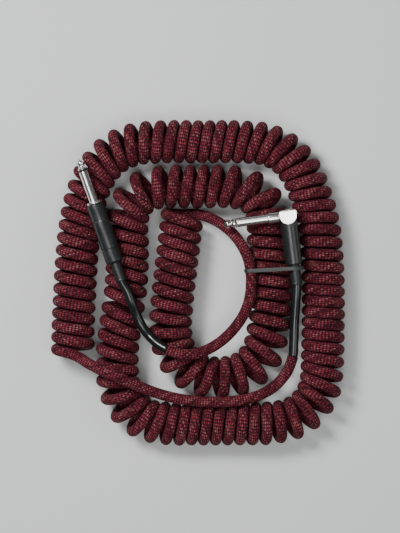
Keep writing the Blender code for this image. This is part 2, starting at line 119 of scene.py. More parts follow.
PIN_BORE = 2.15  # radius of the hole down each pin's sleeve
SLOT_GAP = 0.3  # between the right-angle plug's shell and what it is notched for
SHARP_EDGE_DEG = 34.0  # edges bent by more than this stay sharp
# Where each lead runs inside its plug, up the plug's own axis.
STRAIGHT_LEAD_HEIGHTS = (-57.5, -48.0, -38.0, -29.0)
ANGLE_LEAD_HEIGHTS = (-47.5, -36.0, -26.0)

TIE_WIDTH = 2.4
TIE_THICKNESS = 0.5
TIE_GAP = 0.3
TIE_TAIL_POINT = 8  # of tail A's route, where the tie hooks round it
TIE_LEAD_HEIGHT = -36.2  # on the right-angle plug's axis, where it hooks round the plug
TIE_HOOK_DEG = 130  # how far each hook goes round
TIE_TAIL_START_DEG = 225
TIE_LEAD_START_DEG = 95
TIE_HOOK_STEPS = 24
TIE_STEP = 0.6  # between the band's sections
TIE_EDGE = 0.28  # the band's thickness at its edge
TIE_FOOT = (0.62, 0.30)  # where its middle rib starts: half width and height
TIE_CREST = 0.42  # half the rib's width on top

# Camera: straight down, as far off as a long lens needs.
VIEW_WIDTH = 272.0  # what the picture spans at the window's height above the floor
VIEW_HEIGHT_ABOVE = 28.0
VIEW_CENTRE = (-0.34, 10.54)
CAMERA_HEIGHT = 1600.0
SENSOR = 36.0


def placed(points):
    """Layout points in millimetres as positions in metres."""
    return (np.asarray(points, float) - MIDDLE) * MM


# ---------------------------------------------------------------------------------------------
# Curves.
def smooth_curve(points, per_span):
    """Points along a smooth curve through the given ones."""
    points = np.asarray(points, float)
    chords = np.linalg.norm(np.diff(points, axis=0), axis=1)
    ways = np.diff(points, axis=0) / chords[:, None]
    slopes = np.empty_like(points)
    slopes[0] = ways[0]
    slopes[-1] = ways[-1]
    before = chords[:-1, None]
    after = chords[1:, None]
    slopes[1:-1] = (ways[:-1] * after + ways[1:] * before) / (before + after)
    t = (np.arange(per_span) / per_span)[:, None]
    curve = []
    for i, chord in enumerate(chords):
        rise = 3 * t**2 - 2 * t**3
        leave = (t**3 - 2 * t**2 + t) * chord
        arrive = (t**3 - t**2) * chord
        curve.append(points[i] * (1 - rise) + points[i + 1] * rise
                     + slopes[i] * leave + slopes[i + 1] * arrive)
    return np.vstack(curve + [points[-1:]])


def lengths_along(line):
    """The distance of each point from the line's start."""
    return np.concatenate(((0.0,), np.cumsum(np.linalg.norm(np.diff(line, axis=0), axis=1))))


def at_distances(line, along, stops):
    """The line's points at the given distances from its start."""
    return np.stack([np.interp(stops, along, line[:, k]) for k in range(line.shape[1])], axis=1)


def evenly(line, step):
    """The line again, with points about step apart."""
    along = lengths_along(line)
    count = max(2, int(round(along[-1] / step)) + 1)
    return at_distances(line, along, np.linspace(0, along[-1], count))


def blurred(values, width):
    """A running mean over width samples."""
    pad = np.pad(values, width, mode="edge")
    kernel = np.ones(width) / width
    return np.convolve(pad, kernel, mode="same")[width:-width]


# ---------------------------------------------------------------------------------------------
# The coil's helix.
AXIS_STEP = 0.25
PLANE_BLUR = 160  # axis samples over which the turns' planes share out a bend
HEADING_BLUR = 24
BEND_BLUR = 50
BEND_SHARE = 0.75  # at 1 the turns would keep their usual distance on a bend's inner side
POINTS_PER_SPAN = 60
PITCH_LIMITS = (5.0, 14.0)
PITCH_TRIES = 40

# How far apart the turns lie, against their usual distance, and how far they lean clockwise:
# one (point of the route, spacing, lean in degrees) for each change along the coil. They are set
# so that the turns in view lie about as far apart as in the photograph.
TURN_HABITS = (
    (0, 0.99, 4.0), (3, 1.01, 2.0), (5, 1.04, -2.0), (10, 1.06, -3.0), (12, 1.05, 1.0),
    (13, 1.06, 1.0), (15, 1.09, 0.0), (17, 1.08, 0.0), (20, 1.08, 0.0), (22, 1.04, 2.0),
    (23, 1.01, 6.0), (26, 1.02, 8.0), (29, 1.02, 3.0), (33, 0.97, 0.0), (40, 0.96, -3.0),
    (44, 0.96, 2.0), (52, 0.98, 3.0), (59, 1.0, 0.0),
)
LOOSE_PLACE = 25.45  # near this point of the route, two turns have come apart
LOOSE_WIDTH = 5.0
LOOSE_SHARE = 0.55
# The turns are not quite even: each wave's share of the spacing, millimetres for each radian, and
# radians at the start.
SPACING_WAVES = ((0.03, 23.0, 0.0), (0.025, 9.1, 1.3))
LEAN_WAVE_DEG = 1.2
LEAN_WAVE_REACH = 17.0  # millimetres for each radian


def coil_axis():
    """The coil's middle line at even steps, with the way its turns face and their spacing."""
    first = np.array(COIL_ROUTE[0])
    second = np.array(COIL_ROUTE[1])
    last = np.array(COIL_ROUTE[-1])
    before = np.array(COIL_ROUTE[-2])
    start = first + (first - second) / np.linalg.norm(first - second) * HELIX_LEAD_IN
    end = last + (last - before) / np.linalg.norm(last - before) * HELIX_LEAD_OUT
    route = np.vstack([start[None], np.array(COIL_ROUTE), end[None]])
    fine = smooth_curve(route, POINTS_PER_SPAN)
    marks = lengths_along(fine)[POINTS_PER_SPAN:-1:POINTS_PER_SPAN]
    axis = evenly(fine, AXIS_STEP)
    along = lengths_along(axis)
    ways = np.gradient(axis, axis=0)
    heading = np.unwrap(np.arctan2(ways[:, 1], ways[:, 0]))
    heading = blurred(blurred(heading, PLANE_BLUR), HEADING_BLUR)
    bend = blurred(np.abs(np.gradient(heading)) / AXIS_STEP, BEND_BLUR)
    places, spacings, leans = np.array(TURN_HABITS).T
    at = np.interp(places, np.arange(len(marks)), marks)
    spacing = np.interp(along, at, spacings) / (1 - BEND_SHARE * HELIX_RADIUS * bend)
    loose = np.interp(LOOSE_PLACE, np.arange(len(marks)), marks)
    spacing *= 1 + LOOSE_SHARE * np.exp(-(((along - loose) / LOOSE_WIDTH) ** 2))
    spacing *= 1 + sum(share * np.sin(along / reach + phase)
                       for share, reach, phase in SPACING_WAVES)
    lean = np.interp(along, at, leans) + LEAN_WAVE_DEG * np.sin(along / LEAN_WAVE_REACH)
    heading = heading - np.radians(lean)
    return axis, np.column_stack([np.cos(heading), np.sin(heading)]), spacing


def helix(target_length):
    """The helix's points in layout millimetres, left-handed, as long as target_length."""
    axis, ways, spacing = coil_axis()
    low, high = PITCH_LIMITS
    for _ in range(PITCH_TRIES):
        pitch = (low + high) / 2
        rate = 2 * math.pi / (pitch * spacing)
        length = np.sum(np.sqrt((HELIX_RADIUS * rate) ** 2 + 1)) * AXIS_STEP
        if length > target_length:
            low = pitch
        else:
            high = pitch
    turned = np.concatenate(((0.0,), np.cumsum((rate[1:] + rate[:-1]) / 2 * AXIS_STEP)))
    total = turned[-1]
    wanted = math.radians(HELIX_END_DEG - HELIX_START_DEG)
    turns = round((total - wanted) / (2 * math.pi))
    angle = math.radians(HELIX_START_DEG) + turned * (wanted + 2 * math.pi * turns) / total
    count = int((angle[-1] - angle[0]) / (2 * math.pi) * POINTS_PER_TURN)
    stops = np.linspace(angle[0], angle[-1], count)
    middle = at_distances(axis, angle, stops)
    way = at_distances(ways, angle, stops)
    aside = np.column_stack([-way[:, 1], way[:, 0]])
    flat = middle + aside * HELIX_RADIUS * np.sin(stops)[:, None]
    height = COIL_RADIUS + HELIX_RADIUS * np.cos(stops)
    return np.column_stack([flat, height])


# ---------------------------------------------------------------------------------------------
# Plug frames.
def frame_matrix(origin, x_axis, z_axis):
    """A matrix that puts a piece made along Z at origin, with its Z along z_axis."""
    y_axis = z_axis.cross(x_axis)
    turn = Matrix((x_axis, y_axis, z_axis)).transposed().to_4x4()
    return Matrix.Translation(origin) @ turn


def plug_frames():
    """The straight plug's frame, the right-angle plug's handle frame and its pin's frame."""
    turn = math.radians(STRAIGHT_TURN_DEG)
    ahead = Vector((-math.sin(turn), math.cos(turn), 0.0))
    aside = Vector((math.cos(turn), math.sin(turn), 0.0))
    straight = frame_matrix(Vector(placed(STRAIGHT_SHOULDER)), aside, ahead)
    turn = math.radians(ANGLE_TURN_DEG)
    dip = math.radians(ANGLE_DIP_DEG)
    to_tip = Vector((-math.cos(turn), -math.sin(turn), 0.0))
    up = Vector((-math.sin(turn) * math.cos(dip), math.cos(turn) * math.cos(dip), math.sin(dip)))
    elbow = Vector(placed(ANGLE_ELBOW))
    angle = frame_matrix(elbow, to_tip, up)
    pin = frame_matrix(elbow + to_tip * ANGLE_SHOULDER * MM, up.cross(to_tip), to_tip)
    return straight, angle, pin


STRAIGHT, ANGLE, PIN = plug_frames()


def in_layout(matrix, x, y, z):
    """A point of a plug's frame, in millimetres, as a layout point."""
    return np.array(matrix @ (Vector((x, y, z)) * MM)) / MM + MIDDLE


# ---------------------------------------------------------------------------------------------
# Materials.
def new_material(name, colour, roughness, metallic=0.0, **sockets):
    """A Principled material, its shader and its tree."""
    material = bpy.data.materials.new(name)
    material.use_nodes = True
    shader = material.node_tree.nodes["Principled BSDF"]
    shader.inputs["Base Color"].default_value = (*colour, 1.0)
    shader.inputs["Roughness"].default_value = roughness
    shader.inputs["Metallic"].default_value = metallic
    for socket, value in sockets.items():
        shader.inputs[socket.replace("_", " ")].default_value = value
    return material, shader, material.node_tree


def maths(tree, operation, first, second=None):
    """A Math node's output; first and second are numbers or outputs."""
    made = tree.nodes.new("ShaderNodeMath")
    made.operation = operation
    for socket, value in zip(made.inputs, (first, second)):
        if value is None:
            continue
        if isinstance(value, (int, float)):
            socket.default_value = value
        else:
            tree.links.new(value, socket)
    return made.outputs[0]


def noise(tree, vector, scale, detail):
    """A Noise texture's value."""
    made = tree.nodes.new("ShaderNodeTexNoise")
    made.inputs["Scale"].default_value = scale
    made.inputs["Detail"].default_value = detail
    tree.links.new(vector, made.inputs["Vector"])
    return made.outputs["Fac"]


def ramp(tree, value, stops):
    """A colour ramp over value; stops hold (place, colour)."""
    made = tree.nodes.new("ShaderNodeValToRGB")
    elements = made.color_ramp.elements
    while len(elements) < len(stops):
        elements.new(0.5)
    for element, (place, colour) in zip(elements, stops):
        element.position = place
        element.color = (*colour, 1.0)
    tree.links.new(value, made.inputs[0])
    return made.outputs[0]


def bump(tree, shader, height, strength, distance):
    """Raise the surface by height times distance, in metres."""
    made = tree.nodes.new("ShaderNodeBump")
    made.inputs["Strength"].default_value = strength
    made.inputs["Distance"].default_value = distance
    tree.links.new(height, made.inputs["Height"])
    tree.links.new(made.outputs[0], shader.inputs["Normal"])


def object_coordinates(tree):
    """The piece's own coordinates, in metres."""
    return tree.nodes.new("ShaderNodeTexCoord").outputs["Object"]


BRAID_THREADS = 16  # plaited threads each way round the cord
BRAID_STEP = 0.0018  # along the cord, from one crossing to the next, in metres


def white_noise(tree, vector, kind):
    """A random value for each cell."""
    made = tree.nodes.new("ShaderNodeTexWhiteNoise")
    made.noise_dimensions = kind
    tree.links.new(vector, made.inputs["W" if kind == "1D" else "Vector"])
    return made.outputs["Value"]


def mixed(tree, kind, factor, first, second):
    """Two colours mixed; factor is a number or an output."""
    made = tree.nodes.new("ShaderNodeMix")
    made.data_type = "RGBA"
    made.blend_type = kind
    if isinstance(factor, (int, float)):
        made.inputs["Factor"].default_value = factor
    else:
        tree.links.new(factor, made.inputs["Factor"])
    tree.links.new(first, made.inputs["A"])
    tree.links.new(second, made.inputs["B"])
    return made.outputs["Result"]


def tweed_material():
    """A plaited cover: red and pinkish threads one way, near-black ones the other."""
    material, shader, tree = new_material("tweed_braid", (0.16, 0.02, 0.035), 0.85)
    shader.inputs["Specular IOR Level"].default_value = 0.2
    place = tree.nodes.new("ShaderNodeUVMap")
    place.uv_map = CORD_UV
    parts = tree.nodes.new("ShaderNodeSeparateXYZ")
    tree.links.new(place.outputs[0], parts.inputs[0])
    round_it = maths(tree, "MULTIPLY", parts.outputs[0], float(BRAID_THREADS))
    along_it = maths(tree, "DIVIDE", parts.outputs[1], BRAID_STEP)
    right = maths(tree, "ADD", round_it, along_it)
    left = maths(tree, "SUBTRACT", round_it, along_it)
    right_cell = maths(tree, "FLOOR", right)
    left_cell = maths(tree, "FLOOR", left)

    def crown(value):
        """0 at a thread's edges and 1 on its middle."""
        return maths(tree, "SINE", maths(tree, "MULTIPLY", maths(tree, "FRACT", value), math.pi))

    right_crown = crown(right)
    left_crown = crown(left)
    over = maths(tree, "FLOORED_MODULO", maths(tree, "ADD", right_cell, left_cell), 2.0)
    soft_right = maths(tree, "MULTIPLY", right_crown, maths(tree, "POWER", left_crown, 0.4))
    soft_left = maths(tree, "MULTIPLY", left_crown, maths(tree, "POWER", right_crown, 0.4))
    under = maths(tree, "SUBTRACT", 1.0, over)
    height = maths(tree, "ADD", maths(tree, "MULTIPLY", soft_right, over),
                   maths(tree, "MULTIPLY", maths(tree, "MULTIPLY", soft_left, under), 0.8))

    cell = tree.nodes.new("ShaderNodeCombineXYZ")
    tree.links.new(right_cell, cell.inputs[0])
    tree.links.new(left_cell, cell.inputs[1])
    each = white_noise(tree, cell.outputs[0], "2D")
    red_chance = maths(tree, "ADD", maths(tree, "MULTIPLY", white_noise(tree, right_cell, "1D"), 0.6),
                       maths(tree, "MULTIPLY", each, 0.4))
    dark_chance = maths(tree, "ADD", maths(tree, "MULTIPLY", white_noise(tree, left_cell, "1D"), 0.6),
                        maths(tree, "MULTIPLY", each, 0.4))
    red = ramp(tree, red_chance, (
        (0.10, (0.058, 0.006, 0.012)), (0.34, (0.165, 0.013, 0.030)), (0.56, (0.27, 0.030, 0.056)),
        (0.74, (0.33, 0.068, 0.088)), (0.92, (0.38, 0.125, 0.132)),
    ))
    dark = ramp(tree, dark_chance, (
        (0.10, (0.012, 0.003, 0.005)), (0.50, (0.050, 0.005, 0.011)), (0.78, (0.105, 0.010, 0.021)),
        (0.92, (0.12, 0.070, 0.045)),
    ))
    thread = mixed(tree, "MIX", over, dark, red)
    # Painted shade: the thread colour is darkened along each thread's edges and in the gaps between
    # threads, and lifted a little on the crowns as a painted highlight.
    painted_thread_shade = ramp(tree, height, ((0.0, (0.27, 0.27, 0.27)), (0.5, (0.62, 0.62, 0.62)),
                                (0.95, (1.1, 1.1, 1.1))))
    fibre = noise(tree, place.outputs[0], 2400.0, 2.0)
    fuzz = ramp(tree, fibre, ((0.3, (0.8, 0.8, 0.8)), (0.7, (1.1, 1.1, 1.1))))
    colour = mixed(tree, "MULTIPLY", 1.0, mixed(tree, "MULTIPLY", 1.0, thread, painted_thread_shade), fuzz)
    tree.links.new(colour, shader.inputs["Base Color"])
    bump(tree, shader, height, 1.0, 0.00035)
    return material


def shell_material():
    """Semi-gloss black coating over metal, with faint handling marks."""
    material, shader, tree = new_material("black_shell", (0.010, 0.013, 0.013), 0.36,
                                          Coat_Weight=0.25, Coat_Roughness=0.22)
    marks = noise(tree, object_coordinates(tree), 220.0, 5.0)
    tone = ramp(tree, marks, ((0.3, (0.30, 0.30, 0.30)), (0.75, (0.46, 0.46, 0.46))))
    tree.links.new(tone, shader.inputs["Roughness"])
    colour = ramp(tree, marks, ((0.2, (0.007, 0.009, 0.009)), (0.8, (0.013, 0.016, 0.016))))
    tree.links.new(colour, shader.inputs["Base Color"])
    bump(tree, shader, noise(tree, object_coordinates(tree), 2600.0, 2.0), 0.05, 0.00002)
    return material


def jacket_material():
    """Glossy black cable jacket, faintly uneven along its length."""
    material, shader, tree = new_material("black_jacket", (0.007, 0.009, 0.009), 0.22)
    slow = noise(tree, object_coordinates(tree), 90.0, 3.0)
    tone = ramp(tree, slow, ((0.3, (0.18, 0.18, 0.18)), (0.7, (0.27, 0.27, 0.27))))
    tree.links.new(tone, shader.inputs["Roughness"])
    colour = ramp(tree, slow, ((0.2, (0.005, 0.007, 0.007)), (0.8, (0.010, 0.012, 0.012))))
    tree.links.new(colour, shader.inputs["Base Color"])
    bump(tree, shader, slow, 0.25, 0.0003)
    return material


def shrink_material():
    """Black shrink sleeve, a little duller than the jacket."""
    material, shader, tree = new_material("heat_shrink", (0.012, 0.014, 0.014), 0.40)
    slow = noise(tree, object_coordinates(tree), 160.0, 3.0)
    tone = ramp(tree, slow, ((0.3, (0.33, 0.33, 0.33)), (0.7, (0.50, 0.50, 0.50))))
    tree.links.new(tone, shader.inputs["Roughness"])
    colour = ramp(tree, slow, ((0.2, (0.006, 0.008, 0.008)), (0.8, (0.012, 0.014, 0.014))))
    tree.links.new(colour, shader.inputs["Base Color"])
    bump(tree, shader, slow, 0.3, 0.0002)
    return material


def nickel_material():
    """Satin nickel plate with a trace of handling haze."""
    material, shader, tree = new_material("nickel", (0.82, 0.81, 0.79), 0.16, 1.0)
    haze = noise(tree, object_coordinates(tree), 140.0, 4.0)
    tone = ramp(tree, haze, ((0.35, (0.22, 0.22, 0.22)), (0.75, (0.26, 0.26, 0.26))))
    tree.links.new(tone, shader.inputs["Roughness"])
    colour = ramp(tree, haze, ((0.2, (0.74, 0.73, 0.70)), (0.8, (0.88, 0.87, 0.86))))
    tree.links.new(colour, shader.inputs["Base Color"])
    bump(tree, shader, noise(tree, object_coordinates(tree), 70.0, 0.0), 0.02, 0.00005)
    return material


def plain_material(name, colour, roughness, metallic=0.0, scale=400.0, relief=0.1):
    """A small part's finish: its colour, mottled a little, over a fine grain."""
    material, shader, tree = new_material(name, colour, roughness, metallic)
    grain = noise(tree, object_coordinates(tree), scale, 3.0)
    dark = tuple(c * 0.82 for c in colour)
    light = tuple(min(1.0, c * 1.15) for c in colour)
    tree.links.new(ramp(tree, grain, ((0.3, dark), (0.7, light))), shader.inputs["Base Color"])
    bump(tree, shader, grain, relief, 0.00006)
    return material


TWEED = tweed_material()
SHELL = shell_material()
JACKET = jacket_material()
SHRINK = shrink_material()
NICKEL = nickel_material()
INSULATOR = plain_material("black_insulator", (0.018, 0.018, 0.018), 0.30)
WHITE = plain_material("white_insulator", (0.78, 0.77, 0.72), 0.45)
BRASS = plain_material("brass", (0.72, 0.52, 0.24), 0.32, 1.0)
COPPER = plain_material("copper", (0.80, 0.42, 0.27), 0.34, 1.0)
TIE = plain_material("tie_band", (0.026, 0.031, 0.028), 0.5, 0.0, 900.0, 0.25)


# ---------------------------------------------------------------------------------------------
# Pieces.
def add_piece(name, mesh, material, slot, body, *nodes):
    """A new visible piece: its look, the body it rides on and the CAD nodes that it stands for."""
    piece = bpy.data.objects.new(name, mesh)
    bpy.context.scene.collection.objects.link(piece)
    mesh.materials.clear()
    mesh.materials.append(material)
    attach(piece, body)
    if nodes:
        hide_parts(*nodes)
    return piece


def ring_frames(line):
    """Two directions square to the line at each of its points, which turn no more than it does."""
    ways = np.gradient(line, axis=0)
    ways /= np.linalg.norm(ways, axis=1)[:, None]
    side = np.cross(ways[0], (0.0, 0.0, 1.0))
    if np.linalg.norm(side) < 0.1:
        side = np.cross(ways[0], (0.0, 1.0, 0.0))
    sides = np.empty_like(line)
    for i, way in enumerate(ways):
        side = side - way * np.dot(side, way)
        side = side / np.linalg.norm(side)
        sides[i] = side
    return sides, np.cross(ways, sides)


def tube_mesh(name, line, radius, sides):
    """A closed tube through line, in metres, with a UV map of turns round and metres along."""
    first, second = ring_frames(line)
    angles = np.arange(sides) * 2 * math.pi / sides
    rings = (line[:, None, :] + radius
             * (first[:, None, :] * np.cos(angles)[None, :, None]
                + second[:, None, :] * np.sin(angles)[None, :, None]))
    points = rings.reshape(-1, 3)
    ring = np.arange(len(line) - 1)[:, None] * sides
    here = np.arange(sides)[None, :]
    there = (here + 1) % sides
    quads = np.stack([ring + here, ring + there, ring + sides + there, ring + sides + here],
                     axis=2).reshape(-1, 4)
    mesh = bpy.data.meshes.new(name)
    ends = [list(range(sides))[::-1], list(range(len(points) - sides, len(points)))]
    mesh.from_pydata(points.tolist(), [], quads.tolist() + ends)
    along = lengths_along(line)
    u_here = np.arange(sides) / sides
    u_there = u_here + 1.0 / sides
    v_low = np.repeat(along[:-1], sides)
    v_high = np.repeat(along[1:], sides)
    count = len(line) - 1
    u_left = np.tile(u_here, count)
    u_right = np.tile(u_there, count)
    uv = np.stack([np.stack([u_left, v_low], 1), np.stack([u_right, v_low], 1),
                   np.stack([u_right, v_high], 1), np.stack([u_left, v_high], 1)],
                  axis=1).reshape(-1, 2)
    caps = np.zeros((2 * sides, 2))
    layer = mesh.uv_layers.new(name=CORD_UV)
    layer.data.foreach_set("uv", np.vstack([uv, caps]).astype(np.float32).ravel())
    mesh.shade_smooth()
    mesh.update()
    return mesh


def lathe_mesh(name, profile, matrix, steps=72):
    """A turned mesh from (radius, height) pairs in millimetres, outer side going down."""
    shape = bmesh.new()
    closed = profile[0][0] > 0
    rows = []
    for radius, height in profile:
        if radius == 0:
            rows.append([shape.verts.new((0, 0, height * MM))])
            continue
        row = []
        for k in range(steps):
            angle = 2 * math.pi * k / steps
            row.append(shape.verts.new((radius * math.cos(angle) * MM,
                                        radius * math.sin(angle) * MM, height * MM)))
        rows.append(row)
    pairs = list(zip(rows, rows[1:]))
    if closed:
        pairs.append((rows[-1], rows[0]))
    for upper, lower in pairs:
        for k in range(steps):
            n = (k + 1) % steps
            if len(upper) == 1:
                shape.faces.new((upper[0], lower[k], lower[n]))
            elif len(lower) == 1:
                shape.faces.new((upper[n], upper[k], lower[0]))
            else:
                shape.faces.new((upper[n], upper[k], lower[k], lower[n]))
    bmesh.ops.recalc_face_normals(shape, faces=shape.faces)
    mesh = bpy.data.meshes.new(name)
    shape.to_mesh(mesh)
    shape.free()
    mesh.transform(matrix)
    mesh.shade_smooth()
    mesh.set_sharp_from_angle(angle=math.radians(SHARP_EDGE_DEG))
    return mesh


def turned_piece(name, profile, ease, matrix, look, body, node):
    """A turned piece with eased corners; look is its material and slot."""
    return add_piece(name, lathe_mesh(name, rounded(profile, ease), matrix), *look, body, node)


def rounded(profile, radius, steps=4):
    """The profile with its corners rounded, as a turned part's eased edges."""
    closed = profile[0][0] > 0
    count = len(profile)
    result = []
    for i, point in enumerate(profile):
        if not closed and i in (0, count - 1):
            result.append(point)
            continue
        here = np.array(point, float)
        before = np.array(profile[i - 1], float)
        after = np.array(profile[(i + 1) % count], float)
        to_before = before - here
        to_after = after - here
        cut = min(radius, 0.42 * np.linalg.norm(to_before), 0.42 * np.linalg.norm(to_after))
        start = here + to_before / np.linalg.norm(to_before) * cut
        end = here + to_after / np.linalg.norm(to_after) * cut
        for k in range(steps + 1):
            t = k / steps
            result.append(tuple((1 - t) ** 2 * start + 2 * t * (1 - t) * here + t * t * end))
    return result


def boolean(mesh, cutter, operation="DIFFERENCE"):
    """The mesh after it is cut by, or joined to, another."""
    piece = bpy.data.objects.new("cut", mesh)
    other = bpy.data.objects.new("cutter", cutter)
    for item in (piece, other):
        bpy.context.scene.collection.objects.link(item)
    change = piece.modifiers.new("cut", "BOOLEAN")
    change.object = other
    change.operation = operation
    change.solver = "EXACT"
    bpy.context.view_layer.update()
    made = bpy.data.meshes.new_from_object(piece.evaluated_get(
        bpy.context.evaluated_depsgraph_get()))
    for item in (piece, other):
        bpy.data.objects.remove(item, do_unlink=True)
    made.shade_smooth()
    made.set_sharp_from_angle(angle=math.radians(SHARP_EDGE_DEG))
    return made


# ---------------------------------------------------------------------------------------------
# Camera, floor and lights.
def make_camera():
    """A long lens looking straight down, with +Y up the picture."""
    data = bpy.data.cameras.new("camera")
    camera = bpy.data.objects.new("camera", data)
    bpy.context.scene.collection.objects.link(camera)
    centre = placed((*VIEW_CENTRE, CAMERA_HEIGHT))
    camera.location = centre
    camera.rotation_euler = (0.0, 0.0, 0.0)
    data.sensor_fit = "HORIZONTAL"
    data.sensor_width = SENSOR
    data.lens = SENSOR * (CAMERA_HEIGHT - VIEW_HEIGHT_ABOVE) / VIEW_WIDTH
    data.clip_start = 0.05
    data.clip_end = 20.0
    bpy.context.scene.camera = camera


def make_floor():
    """A pale, plain floor."""
    bpy.ops.mesh.primitive_plane_add(size=6.0, location=(0, 0, -0.0002))
    floor = bpy.context.object
    floor.name = "floor"
    material, _, _ = new_material("floor", (0.66, 0.68, 0.67), 0.9)
    floor.data.materials.append(material)


def add_light(name, place, aim, size, power):
    """A soft square light at a place, aimed at a point."""
    data = bpy.data.lights.new(name, "AREA")
    data.size = size
    data.energy = power
    light = bpy.data.objects.new(name, data)
    bpy.context.scene.collection.objects.link(light)
    light.location = place
    way = Vector(aim) - Vector(place)
    light.rotation_euler = way.to_track_quat("-Z", "Y").to_euler()


def make_lights():
    """A key from the upper left, a weak fill from the right, a soft light above and a dim room."""
    add_light("key", (-0.48, 0.42, 0.95), (0, 0, 0.02), 0.34, 14.0)
    add_light("fill", (0.85, -0.15, 0.75), (0, 0, 0.02), 0.5, 2.0)
    add_light("top", (0.0, -0.32, 1.25), (0, 0, 0), 0.62, 7.0)
    world = bpy.data.worlds.new("room")
    world.use_nodes = True
    world.node_tree.nodes["Background"].inputs[0].default_value = (0.78, 0.80, 0.82, 1.0)
    world.node_tree.nodes["Background"].inputs[1].default_value = 0.12
    bpy.context.scene.world = world


# ---------------------------------------------------------------------------------------------
# The cord.
def make_cord():
    """Tweed cord, tail to tail, with a black lead at each end."""
    straight_points = [in_layout(STRAIGHT, 0, 0, z) for z in STRAIGHT_LEAD_HEIGHTS]
    angle_points = [in_layout(ANGLE, 0, 0, z) for z in ANGLE_LEAD_HEIGHTS]
    lead_a = np.vstack([LEAD_A_ROUTE, straight_points])
    lead_b = np.vstack([LEAD_B_ROUTE, angle_points])
    # Each tail's first point is left out, so that the helix runs into it on an easy bend.
    ends = (list(lead_a[::-1]) + list(TAIL_A_ROUTE[:0:-1]), list(TAIL_B_ROUTE[1:]) + list(lead_b))
    loose = sum(lengths_along(np.array(part))[-1] for part in ends)
    turns = helix(CORD_LENGTH - loose)
    control = np.vstack([ends[0], turns, ends[1]])
    first_tweed = len(lead_a)
    last_tweed = len(control) - len(lead_b) - 1
    fine = []
    marks = {}
    spans = smooth_curve(control, 4)
    # Helix points are already close together, so they are kept as they are.
    start_helix = len(ends[0])
    end_helix = start_helix + len(turns)
    for i in range(len(control)):
        marks[i] = len(fine)
        fine.append(spans[4 * i])
        if i < len(control) - 1 and not start_helix <= i < end_helix - 1:
            fine.extend(spans[4 * i + 1:4 * i + 4])
    line = placed(np.array(fine))
    tweed_line = line[marks[first_tweed]:marks[last_tweed] + 1]
    mesh = tube_mesh("cord", tweed_line, CORD_RADIUS * MM, CORD_SIDES)
    coil_nodes = [n for n in frame["nodes"] if n.startswith("coil_")]
    cord = add_piece("cord", mesh, TWEED, "tweed_braid", "root", *coil_nodes, "tail_a", "tail_b")

    leads = []
    for name, part in (("lead_a", line[:marks[first_tweed] + 1]),
                       ("lead_b", line[marks[last_tweed]:])):
        smooth = evenly(part, LEAD_STEP * MM)
        lead = tube_mesh(name + "_jacket", smooth, LEAD_RADIUS * MM, LEAD_SIDES)
        leads.append(add_piece(name + "_jacket", lead, JACKET, "black_jacket", "root", name))
    return cord, leads, line


# ---------------------------------------------------------------------------------------------
# Plugs.
TIP_PROFILE = ((0, 31.0), (0.55, 30.95), (0.95, 30.7), (2.75, 28.5), (2.95, 28.15), (2.97, 27.6),
               (2.75, 27.0), (2.3, 26.1), (2.1, 25.6), (2.1, 25.3), (2.3, 24.9), (2.75, 24.45),
               (3.05, 24.15), (3.05, 23.2), (0, 23.2))


def make_pin(prefix, matrix):
    """The pin's tip and its black insulator ring."""
    tip = lathe_mesh(prefix + "_tip_face", TIP_PROFILE, matrix)
    tip_piece = add_piece(prefix + "_tip_face", tip, NICKEL, "nickel", "root", prefix + "_tip")
    insulator = ((3.08, 22.9), (3.08, 21.9), (1.1, 21.9), (1.1, 22.9))
    mesh = lathe_mesh(prefix + "_tip_ring", insulator, matrix)
    ring = add_piece(prefix + "_tip_ring", mesh, INSULATOR, "black_insulator", "root",
                     prefix + "_tip_insulator")
    return [tip_piece, ring]


def make_straight_plug():
    """The straight plug's outer pieces."""
    sleeve = ((PIN_RADIUS, 21.6), (PIN_RADIUS, 0), (5.3, 0), (5.3, -1.5), (4.0, -1.5),
              (4.0, -17.5), (PIN_BORE, -17.5), (PIN_BORE, 21.6))
    front = ((5.5, -1.8), (BARREL_RADIUS, -2.4), (BARREL_RADIUS, -13.5), (4.3, -13.5),
             (4.3, -1.8))
    barrel = ((BARREL_RADIUS, -13.8), (BARREL_RADIUS, -33.5), (5.0, -33.5), (5.0, -18.0),
              (4.3, -18.0), (4.3, -13.8))
    collar = ((4.7, -30.2), (4.7, -33.8), (BARREL_RADIUS, -33.8), (BARREL_RADIUS, -42.3),
              (5.55, -43.0), (5.2, -43.5), (4.35, -43.5), (4.35, -30.2))
    relief = ((3.8, -41.2), (3.75, -55.0), (3.95, -55.9), (3.85, -56.5), (3.4, -56.5),
              (3.4, -41.2))
    nickel = (NICKEL, "nickel")
    black = (SHELL, "black_shell")
    return make_pin("straight", STRAIGHT) + [
        turned_piece("straight_pin_sleeve", sleeve, 0.25, STRAIGHT, nickel, "root",
                     "straight_sleeve"),
        turned_piece("straight_grip_ring", front, 0.25, STRAIGHT, black, "root",
                     "straight_front_ring"),
        turned_piece("straight_barrel_shell", barrel, 0.25, STRAIGHT, black, "straight_barrel",
                     "straight_barrel"),
        turned_piece("straight_collar_shell", collar, 0.2, STRAIGHT, black,
                     "straight_rear_collar", "straight_rear_collar"),
        turned_piece("straight_shrink_sleeve", relief, 0.15, STRAIGHT, (SHRINK, "heat_shrink"),
                     "root", "straight_strain_relief"),
    ]


